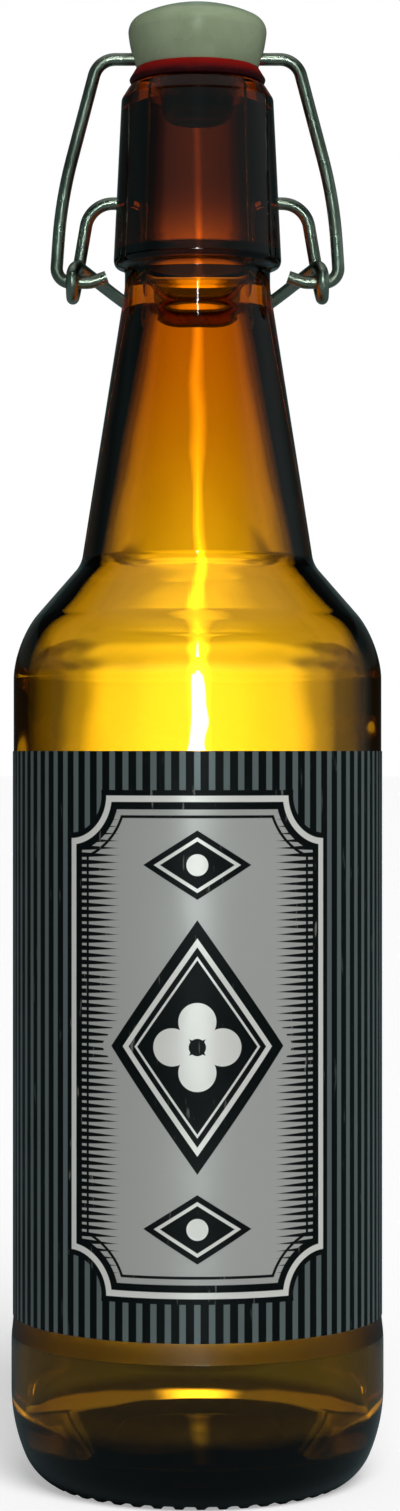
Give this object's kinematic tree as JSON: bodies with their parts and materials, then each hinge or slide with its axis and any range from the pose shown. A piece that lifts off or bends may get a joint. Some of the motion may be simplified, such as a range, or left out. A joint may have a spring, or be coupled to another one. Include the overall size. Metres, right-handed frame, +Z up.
{
  "type": "swing-top glass bottle",
  "caption": "Amber glass bottle with a long neck, a wrap label and a swing-top closure: a ceramic stopper with a rubber gasket on a wire bail, clamped by a wire lever.",
  "frame": {"origin": "on the table, at the middle of the base", "axes": "+Z up along the bottle's axis, -Y to the front, +X to the right seen from the front; the lever's handle lies behind the neck at +Y"},
  "size_m": [0.068, 0.068, 0.2693],
  "materials": {
    "amber_glass": "clear polished amber glass",
    "label": "foil-faced paper, satin, dark with silver stripes",
    "porcelain": "glazed",
    "gasket": "smooth moulded rubber",
    "bail_wire": "drawn and tinned wire",
    "lever_wire": "drawn and tinned wire"
  },
  "bodies": {
    "glass": {"bottle": "amber_glass", "wrap_label": "label"},
    "lever": {"locking_lever": "lever_wire"},
    "bail": {"stopper_bail": "bail_wire"},
    "plug": {"stopper": "porcelain", "rubber_gasket": "gasket"}
  },
  "joints": [
    {"name": "lever_turn", "type": "hinge", "parent": "glass", "child": "lever", "pos_m": [0, 0, 0.2329], "axis": [1, 0, 0], "range_deg": [0, 180]},
    {"name": "bail_swing", "type": "hinge", "parent": "lever", "child": "bail", "pos_m": [0, -0.001, 0.2183], "axis": [1, 0, 0], "range_deg": [-121, 0]},
    {"name": "stopper_tilt", "type": "hinge", "parent": "bail", "child": "plug", "pos_m": [0, 0, 0.2593], "axis": [1, 0, 0], "range_deg": [-60, 0]}
  ],
  "couplings": [
    {"joint": "bail_swing", "follows": "lever_turn", "ratio": -0.67},
    {"joint": "stopper_tilt", "follows": "lever_turn", "ratio": -0.33}
  ]
}
